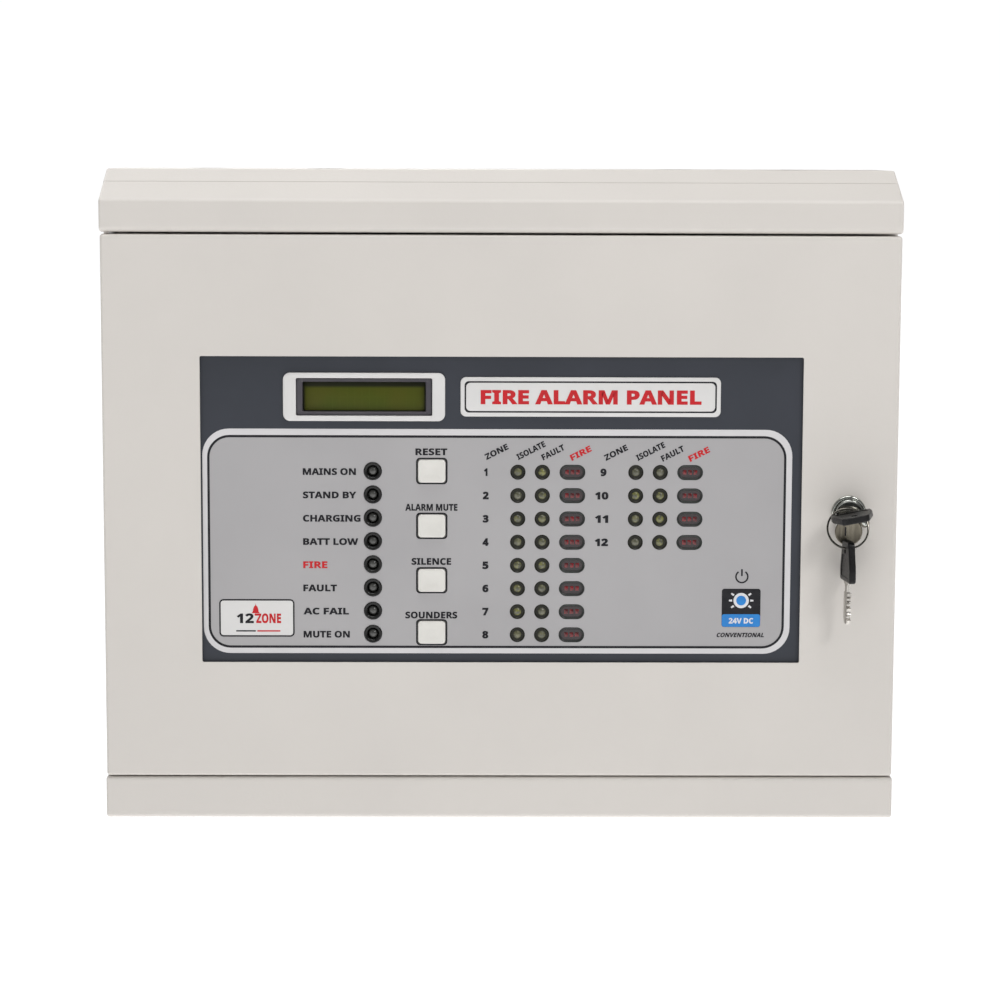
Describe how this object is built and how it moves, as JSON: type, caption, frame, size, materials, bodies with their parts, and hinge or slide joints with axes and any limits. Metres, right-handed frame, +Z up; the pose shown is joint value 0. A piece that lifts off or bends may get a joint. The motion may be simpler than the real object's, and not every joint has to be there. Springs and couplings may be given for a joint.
{
  "type": "fire alarm control panel",
  "caption": "Wall-mounted zoned fire alarm control panel: steel case with hinged lockable door, lamp and display fascia, push buttons, keys, boards and standby batteries.",
  "frame": {"origin": "centre of the case's rear face, which lies flat on the wall", "axes": "+Z up; +Y into the wall, so the door faces -Y; +X to the right of someone who faces the door"},
  "size_m": [0.4, 0.129, 0.328],
  "materials": {
    "case_paint": "cream textured powder coat",
    "fascia_steel": "slate satin",
    "overlay": "fine matt printed film",
    "white_trim": "satin",
    "button_cap": "satin",
    "black_plastic": "satin",
    "display_glass": "gloss",
    "circuit_board": "solder mask",
    "terminal_green": "satin",
    "zinc_steel": "zinc plated",
    "lock_chrome": "polished",
    "key_metal": "nickel plated",
    "cover_metal": "dull bronze plate",
    "core_iron": "laminated",
    "winding": "tape",
    "heat_sink": "extruded",
    "rubber": "matt",
    "battery_case": "moulded",
    "red_lead": "satin",
    "blue_lead": "satin",
    "black_lead": "satin"
  },
  "bodies": {
    "enclosure": {"back_box": "case_paint", "top_hood": "case_paint", "bottom_ledge": "case_paint", "hinge_pin_upper": "zinc_steel", "hinge_pin_lower": "zinc_steel", "cable_grommet_1": "rubber", "cable_grommet_2": "rubber", "cable_grommet_3": "rubber", "cable_grommet_4": "rubber", "main_board": "circuit_board", "power_board": "circuit_board", "zone_terminals": "terminal_green", "sounder_terminals": "terminal_green", "mains_terminals": "terminal_green", "alarm_buzzer": "black_plastic", "smoothing_capacitor": "black_plastic", "fuse_holder": "black_plastic", "heat_sink": "heat_sink", "transformer_core": "core_iron", "transformer_winding": "winding", "battery_left": "battery_case", "battery_right": "battery_case", "battery_clamp": "zinc_steel", "battery_link_lead": "blue_lead", "battery_lead_black": "black_lead", "battery_lead_red": "red_lead", "door_harness": "black_lead"},
    "door": {"door_panel": "case_paint", "fascia_overlay": "overlay", "fascia_plate": "fascia_steel", "fascia_gasket": "rubber", "fascia_nut_1": "zinc_steel", "fascia_nut_2": "zinc_steel", "fascia_nut_3": "zinc_steel", "fascia_nut_4": "zinc_steel", "lcd_surround": "white_trim", "title_plate": "white_trim", "status_bezels": "black_plastic", "display_board": "circuit_board", "reset_switch": "black_plastic", "alarm_mute_switch": "black_plastic", "silence_switch": "black_plastic", "sounders_switch": "black_plastic", "lcd_module": "black_plastic", "lcd_glass": "display_glass", "lock_body": "lock_chrome", "lock_nut": "zinc_steel"},
    "reset_button": {"reset_button": "button_cap"},
    "alarm_mute_button": {"alarm_mute_button": "button_cap"},
    "silence_button": {"silence_button": "button_cap"},
    "sounders_button": {"sounders_button": "button_cap"},
    "lock_core": {"lock_plug": "lock_chrome", "lock_cam": "zinc_steel", "cam_screw": "zinc_steel"},
    "dust_cover": {"dust_cover": "cover_metal"},
    "key": {"key_blade": "key_metal", "key_bow": "black_plastic"},
    "key_ring": {"key_ring": "key_metal"},
    "spare_key": {"spare_key_blade": "key_metal", "spare_key_bow": "black_plastic"}
  },
  "joints": [
    {"name": "door_hinge", "type": "hinge", "parent": "enclosure", "child": "door", "pos_m": [-0.194, -0.091, 0], "axis": [0, 0, -1], "range_deg": [0, 110], "deforming": ["door_harness"]},
    {"name": "reset_press", "type": "slide", "parent": "door", "child": "reset_button", "axis": [0, 1, 0], "range_m": [0, 0.0008], "stiffness_N_per_m": 1500, "springref_m": -0.0004},
    {"name": "alarm_mute_press", "type": "slide", "parent": "door", "child": "alarm_mute_button", "axis": [0, 1, 0], "range_m": [0, 0.0008], "stiffness_N_per_m": 1500, "springref_m": -0.0004},
    {"name": "silence_press", "type": "slide", "parent": "door", "child": "silence_button", "axis": [0, 1, 0], "range_m": [0, 0.0008], "stiffness_N_per_m": 1500, "springref_m": -0.0004},
    {"name": "sounders_press", "type": "slide", "parent": "door", "child": "sounders_button", "axis": [0, 1, 0], "range_m": [0, 0.0008], "stiffness_N_per_m": 1500, "springref_m": -0.0004},
    {"name": "lock_turn", "type": "hinge", "parent": "door", "child": "lock_core", "pos_m": [0.1751, -0.1, -0.0068], "axis": [0, -1, 0], "range_deg": [-11, 79]},
    {"name": "dust_cover_swing", "type": "hinge", "parent": "door", "child": "dust_cover", "pos_m": [0.1829, -0.1037, -0.0114], "axis": [0, -1, 0], "range_deg": [0, 35]},
    {"name": "key_slide", "type": "slide", "parent": "lock_core", "child": "key", "axis": [0, -1, 0], "range_m": [0, 0.024]},
    {"name": "key_ring_swing", "type": "hinge", "parent": "key", "child": "key_ring", "pos_m": [0.1737, -0.1053, -0.00466], "axis": [-1, 0, 0], "range_deg": [0, 5]},
    {"name": "spare_key_swing", "type": "hinge", "parent": "key_ring", "child": "spare_key", "pos_m": [0.1737, -0.11234, -0.0232], "axis": [-1, 0, 0], "range_deg": [0, 45]}
  ]
}
